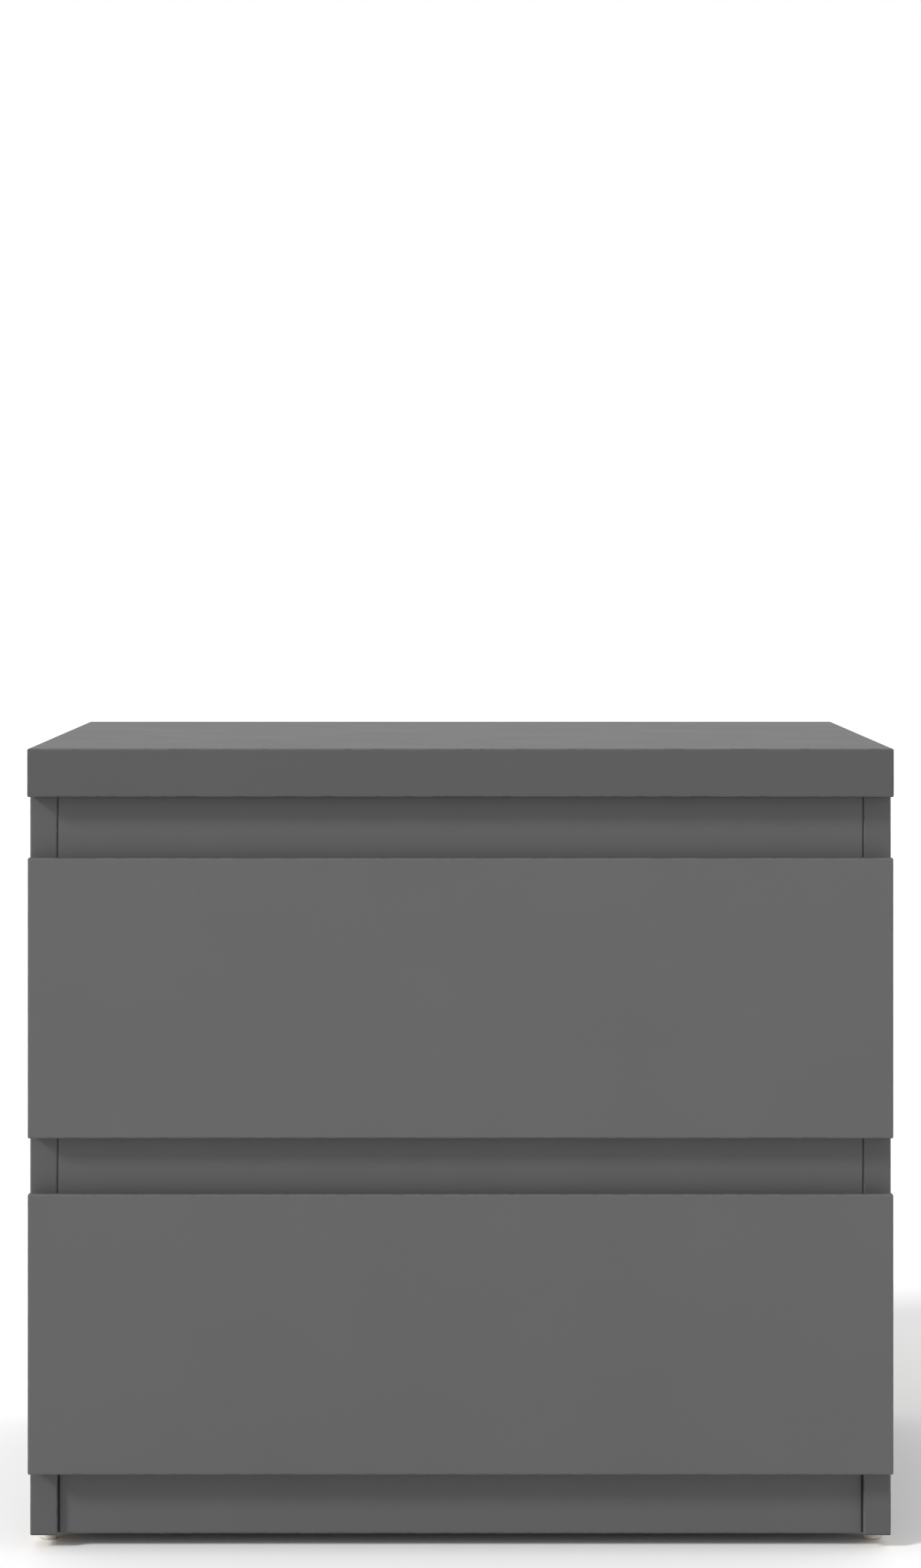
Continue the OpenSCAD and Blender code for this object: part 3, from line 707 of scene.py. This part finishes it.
def screw(foot, axis, tip, head):
    """A zinc-plated chipboard screw: point, thread ridges, plain neck and a head with a cross slot."""
    core, ridge, neck = 1.15 * MM, 1.75 * MM, 1.7 * MM
    pitch = 1.3 * MM
    profile = [(tip, 0.15 * MM), (tip + 1.6 * MM, core)]
    turns = int((head[0][0] - 1.2 * MM - profile[-1][0]) / pitch)
    for _ in range(turns):
        start = profile[-1][0]
        profile += [(start + pitch * 0.45, core), (start + pitch * 0.72, ridge),
                    (start + pitch, core)]
    profile += [(head[0][0] - 0.6 * MM, neck), (head[0][0], neck)] + head
    made = turned("screw", foot, axis, profile, 24)
    leave_edit()
    top = Vector(foot) + Vector(axis) * head[-1][0]
    ways = [Vector(way) for way in ((1, 0, 0), (0, 1, 0), (0, 0, 1))]
    across = [way for way in ways if abs(way.dot(Vector(axis))) < 0.5]
    slot_deep, slot_long, slot_wide = 1.2 * MM, 3.6 * MM, 0.75 * MM
    for long_way, short_way in (across, across[::-1]):
        bpy.ops.object.select_all(action="DESELECT")
        bpy.ops.mesh.primitive_cube_add(size=1.0, location=top)
        bpy.context.object.scale = long_way * slot_long + short_way * slot_wide + Vector(
            [abs(part) for part in axis]) * slot_deep * 2
        bpy.ops.object.transform_apply(location=True, rotation=True, scale=True)
        cut(made, bpy.context.object)
    bpy.ops.object.select_all(action="DESELECT")
    made.select_set(True)
    bpy.context.view_layer.objects.active = made
    bpy.ops.object.shade_smooth_by_angle(angle=math.radians(40))
    return made


def set_of(first, name, places):
    """The first piece copied by each matrix, and all of them joined as one group."""
    group = join([copy_of(first, name, place) for place in places], name)
    bpy.data.objects.remove(first)
    return group


head_r = 3.5 * MM
low_head = [(0.0, head_r), (0.4 * MM, head_r), (0.7 * MM, head_r - 0.5 * MM),
            (0.9 * MM, head_r - 1.1 * MM)]
side_screw_tip = -11 * MM
low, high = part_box("cabinet_runner_screws")
side_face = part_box("left_side")[1].x
foot = (side_face + sheet_t, low.y + head_r, low.z + head_r)
first_screw = screw(foot, (1, 0, 0), side_screw_tip, low_head)
screw_steps = [y - screw_places[0] for y in screw_places]
storey_step = high.z - low.z - 2 * head_r
steps = [Matrix.Translation((0, y, z)) for y in screw_steps for z in (0.0, storey_step)]
runner_screws = set_of(first_screw, "cabinet_runner_screw_set",
                       steps + [MIRRORED @ step for step in steps])
fit(runner_screws, plating, "carcass", "cabinet_runner_screws")


# ---- Rollers and the rivets that they turn on ----
# White nylon wheels with six ribs between hub and rim. The cabinet rollers carry the drawer
# runners at the front, and the drawer rollers run inside the channels at the back.

def nylon():
    """Milky moulded nylon, a little dirty on the tread."""
    finish, shader, place, facing = new_finish("roller_nylon_finish")
    milk = cloud(place, 2.2 * MM, 2.0)
    grit = cloud(place, 0.3 * MM, 4.0)
    tread = abs(along(facing)[0]) < 0.35
    dirt = tread * cloud(place, 1.6 * MM, 4.0)
    tone = blend(milk, (0.70, 0.70, 0.67), (0.78, 0.78, 0.76))
    colour = blend(dirt * 0.35, tone, (0.28, 0.27, 0.26))
    finish_with(shader, colour, 0.28 + milk * 0.10 + dirt * 0.2, bump(grit, 0.01 * MM))
    return finish


def wheel(node):
    """A ribbed roller in the place of a plain one."""
    low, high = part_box(node)
    centre = (low + high) / 2
    tread_r = (high.z - low.z) / 2
    width = high.x - low.x
    shoulder, rim, pocket, bore_r = 0.6 * MM, 1.5 * MM, 1.7 * MM, 2.55 * MM
    hub_r = 4.0 * MM
    ribs = 6
    half_rib = 8
    sides = 72
    chamfer = shoulder * 0.3
    profile = [(0.0, tread_r - shoulder), (chamfer, tread_r - chamfer), (shoulder, tread_r),
               (width - shoulder, tread_r), (width - chamfer, tread_r - chamfer),
               (width, tread_r - shoulder)]
    made = turned("wheel", (low.x, centre.y, centre.z), (1, 0, 0), profile, sides)
    web_r = tread_r - shoulder - rim
    pick("FACE", lambda at, way: abs(way.x) > 0.99)
    for step in (rim, web_r - hub_r, hub_r - bore_r):
        bpy.ops.mesh.inset(thickness=step)
    bpy.ops.mesh.delete(type="FACE")
    pick("EDGE", lambda at, way: (at.yz - centre.yz).length < bore_r + 0.05 * MM)
    bpy.ops.mesh.bridge_edge_loops()

    def in_pocket(at):
        out = at.yz - centre.yz
        turn = math.degrees(math.atan2(out.y, out.x)) % (360 / ribs)
        return hub_r < out.length < web_r and half_rib < turn < 360 / ribs - half_rib

    for side in (-1, 1):
        pick("FACE", lambda at, way: way.x * side > 0.99 and in_pocket(at))
        extrude((-side * pocket, 0.0, 0.0))
    leave_edit()
    soften(made, moulded_round)
    return made


roller_nylon = nylon()
first_node = "cabinet_roller_upper_left"
first_wheel = wheel(first_node)
first_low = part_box(first_node)[0]
for storey in ("upper", "lower"):
    for side in ("left", "right"):
        for node in (f"cabinet_roller_{storey}_{side}", f"{storey}_drawer_roller_{side}"):
            shift = Matrix.Translation(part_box(node)[0] - first_low)
            roller = copy_of(first_wheel, node + "_wheel", shift)
            fit(roller, roller_nylon, node, node)
bpy.data.objects.remove(first_wheel)
for node in ("cabinet_roller_pins", "upper_roller_pins", "lower_roller_pins"):
    dress(node, plating)


# ---- Drawer fronts ----
# Fibreboard wrapped in matt graphite foil, a shade lighter than the carcass. The top edge is
# bevelled at the back for the fingers, and bolts and dowels hold the box behind it.

def foil_front(node):
    """Matt foil on fibreboard, a little smoother where fingers take hold of the top edge."""
    grip_high = 30 * MM
    finish, shader, place, facing = new_finish(node + "_finish")
    y, z = along(facing)[1:]
    bevel = (y > 0.5) & (z > 0.3)
    core = core_shows(place, facing, node, ()) * (1 - bevel)
    corner = rounded_edges(place, node)
    clouds = cloud(place, 70 * MM, 3.0)
    pearl = cloud(place, 0.40 * MM, 2.0)
    speck = cloud(place, 1.8 * MM, 3.0)
    tone = blend(clouds * 0.5 + speck * 0.3 + pearl * 0.2,
                 (0.0572, 0.0553, 0.0561), (0.0674, 0.0655, 0.0663))
    worn = corner * (cloud(place, 8 * MM, 4.0) > 0.48)
    tone = blend(worn * 0.18, tone, (0.13, 0.13, 0.13))
    fibre = cloud(place, 0.7 * MM, 5.0)
    colour = blend(core, tone, blend(fibre, (0.26, 0.16, 0.085), (0.42, 0.29, 0.17)))
    grip = along(place)[2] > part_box(node)[1].z - grip_high
    touched = grip * (cloud(place, 24 * MM, 4.0) > 0.5) * 0.06
    roughness = (0.50 + (pearl - 0.5) * 0.10 - touched - worn * 0.05) * (1 - core) + core * 0.9
    height = (pearl * 0.6 + speck * 0.4) * (1 - core) + fibre * core * 4.0
    finish_with(shader, colour, roughness, bump(height, 0.010 * MM))
    shader.inputs["Specular IOR Level"].default_value = 0.4
    return finish


for storey in ("upper", "lower"):
    dress(f"{storey}_front", foil_front(f"{storey}_front"))


# ---- Drawer boxes ----
# Thin chipboard wrapped in light grey foil, raw at the ends and below. The bottom is hardboard
# in grooves, lacquered grey inside. Cams and dowels hold the sides to the front, screws the back.

box_dark = (0.40, 0.395, 0.380)
box_pale = (0.46, 0.455, 0.440)
box_boards = {
    "box_left": (FRONT, REAR, UNDER),
    "box_right": (FRONT, REAR, UNDER),
    "box_back": ENDS + (UNDER,),
}
for storey in ("upper", "lower"):
    for board, bare in box_boards.items():
        node = f"{storey}_{board}"
        dress(node, faced_board(node, box_dark, box_pale, 0.44, bare, ()))
    dress(f"{storey}_box_floor", hardboard(f"{storey}_bottom_finish", TOP, (0.44, 0.435, 0.42),
                                           (0.50, 0.495, 0.48), 0, 1))
    dress(f"{storey}_cam_locks", casting)
    dress(f"{storey}_bolts", plating)
    dress(f"{storey}_dowels", dowel_wood)

sunk = 0.1 * MM
cone = 2.0 * MM
box_screw_tip = -35 * MM
sunk_head = [(-sunk - cone, 1.75 * MM), (-sunk - 0.2 * MM, head_r), (-sunk, head_r)]
for storey in ("upper", "lower"):
    low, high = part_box(f"{storey}_corner_screws")
    foot = (low.x - sunk, (low.y + high.y) / 2, low.z + head_r)
    first_screw = screw(foot, (-1, 0, 0), box_screw_tip, sunk_head)
    steps = [Matrix.Translation((0, 0, z)) for z in (0.0, high.z - low.z - 2 * head_r)]
    name = f"{storey}_corner_screw_set"
    corner_screws = set_of(first_screw, name, steps + [MIRRORED @ step for step in steps])
    fit(corner_screws, plating, f"{storey}_drawer", f"{storey}_corner_screws")


# ---- Drawer runners and their screws ----
# A Z-shaped rail of the same coated sheet, screwed under each drawer side. Its lip rides on the
# cabinet roller, and a small bead pressed into the lip checks the drawer when it is fully out.

low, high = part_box("upper_drawer_runner_left")
box_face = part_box("upper_box_left")[0].x
web_x = box_face - half_t
flange_z = low.z + half_t
lip_z = high.z - half_t
rail = start_sheet("rail", Vector((web_x, low.y, flange_z)), Vector((web_x, high.y, lip_z)))
pick("EDGE", lambda at, way: is_near(at.z, flange_z) and abs(way.y) > 0.9)
extrude((high.x - web_x, 0.0, 0.0))
pick("EDGE", lambda at, way: is_near(at.z, lip_z) and abs(way.y) > 0.9)
extrude((low.x - web_x, 0.0, 0.0))
travel = 260 * MM
bead_long, bead_in, bead_slope, bead_deep = 8 * MM, 1.6 * MM, 0.5 * MM, 0.6 * MM
bead_front = roller_middle.y + travel + 4 * MM
for y in (bead_front, bead_front + bead_long):
    bpy.ops.mesh.select_all(action="SELECT")
    bpy.ops.mesh.bisect(plane_co=(0.0, y, 0.0), plane_no=(0.0, 1.0, 0.0))
fold(lambda at, way: abs(way.y) > 0.9 and is_near(at.x, web_x)
     and (is_near(at.z, flange_z) or is_near(at.z, lip_z)))
pick("FACE", lambda at, way: abs(way.z) > 0.9 and is_near(at.z, lip_z)
     and bead_front < at.y < bead_front + bead_long)
bpy.ops.mesh.inset(thickness=bead_in)
bpy.ops.mesh.inset(thickness=bead_slope)
bpy.ops.transform.translate(value=(0.0, 0.0, -bead_deep))
leave_edit()
apply_modifier(rail, "SOLIDIFY", thickness=sheet_t, offset=0.0, use_even_offset=True)
screw_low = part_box("upper_runner_screws")[0]
screw_x = screw_low.x + head_r
first_y = screw_low.y + head_r
flange_holes = [((screw_x, first_y + y, flange_z), screw_hole, screw_hole) for y in screw_steps]
flange_holes += [((screw_x, first_y + y, flange_z), oblong_wide, oblong_long)
                 for y in (40 * MM, 84 * MM, 170 * MM, 212 * MM)]
punch(rail, flange_holes, (0, 0, 1))
wheel_low, wheel_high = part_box("upper_drawer_roller_left")
wheel_middle = (wheel_low + wheel_high) / 2
web_holes = [((web_x, wheel_middle.y, wheel_middle.z), pin_hole, pin_hole)]
web_holes += [((web_x, first_y + y, wheel_middle.z + 2.5 * MM), oblong_wide, oblong_long)
              for y in (20 * MM, 62 * MM, 148 * MM, 234 * MM)]
punch(rail, web_holes, (1, 0, 0))
soften(rail, pressed_round)
pan_high = 1.5 * MM
pan_head = [(0.0, head_r), (0.7 * MM, head_r), (1.2 * MM, head_r - 0.7 * MM),
            (pan_high, head_r - 1.7 * MM)]
rail_screw_tip = -9.5 * MM
for storey in ("upper", "lower"):
    drop = Matrix.Translation((0.0, 0.0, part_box(f"{storey}_drawer_runner_left")[0].z - low.z))
    for side, place in (("left", drop), ("right", MIRRORED @ drop)):
        runner = copy_of(rail, f"runner_rail_{storey}_{side}", place)
        fit(runner, runner_coat, f"{storey}_drawer", f"{storey}_drawer_runner_{side}")
    foot = (screw_x, first_y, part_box(f"{storey}_runner_screws")[0].z + pan_high)
    first_screw = screw(foot, (0, 0, -1), rail_screw_tip, pan_head)
    steps = [Matrix.Translation((0, y, 0)) for y in screw_steps]
    name = f"{storey}_runner_screw_set"
    screws = set_of(first_screw, name, steps + [MIRRORED @ step for step in steps])
    fit(screws, plating, f"{storey}_drawer", f"{storey}_runner_screws")
bpy.data.objects.remove(rail)


# ---- Room: floor, light and camera ----
# A plain pale floor without an edge in sight, an even white surround for soft light from all
# round, one large soft lamp high on the left in front, and a weak, wide one straight in front.

bpy.ops.mesh.primitive_plane_add(size=80.0, location=(0.0, 0.0, 0.0))
floor = bpy.context.object
floor.name = "floor"
floor_finish, floor_shader = new_finish("floor_paint")[:2]
floor_shader.inputs["Base Color"].default_value = (0.80, 0.80, 0.80, 1.0)
floor_shader.inputs["Roughness"].default_value = 0.9
floor_shader.inputs["Specular IOR Level"].default_value = 0.2
floor.data.materials.append(floor_finish)

surround = bpy.data.worlds.new("surround")
surround.use_nodes = True
background = next(node for node in surround.node_tree.nodes if node.type == "BACKGROUND")
background.inputs["Color"].default_value = (1.0, 1.0, 1.0, 1.0)
background.inputs["Strength"].default_value = 1.0
bpy.context.scene.world = surround

lamp_travel = Vector((21.0, 17.0, -16.5))
bpy.ops.object.light_add(type="SUN", location=(-2.4, -2.3, 2.3),
                         rotation=lamp_travel.to_track_quat("-Z", "Y").to_euler())
lamp = bpy.context.object
lamp.name = "soft_lamp"
lamp.data.energy = 2.6
lamp.data.angle = math.radians(12.0)

fill_travel = Vector((0.0, 1.0, -0.15))
bpy.ops.object.light_add(type="SUN", location=(0.0, -4.0, 1.5),
                         rotation=fill_travel.to_track_quat("-Z", "Y").to_euler())
fill = bpy.context.object
fill.name = "front_fill"
fill.data.energy = 0.45
fill.data.angle = math.radians(40.0)

bpy.context.scene.view_settings.view_transform = "Standard"

eye_distance = 2.36
eye_height = 0.574
bpy.ops.object.camera_add(location=(0.0, cad_size[0].y - eye_distance, eye_height),
                          rotation=(math.radians(90.0), 0.0, 0.0))
camera = bpy.context.object
camera.name = "camera"
camera.data.sensor_width = 36.0
camera.data.lens = 93.93
camera.data.shift_y = -0.1419
bpy.context.scene.camera = camera
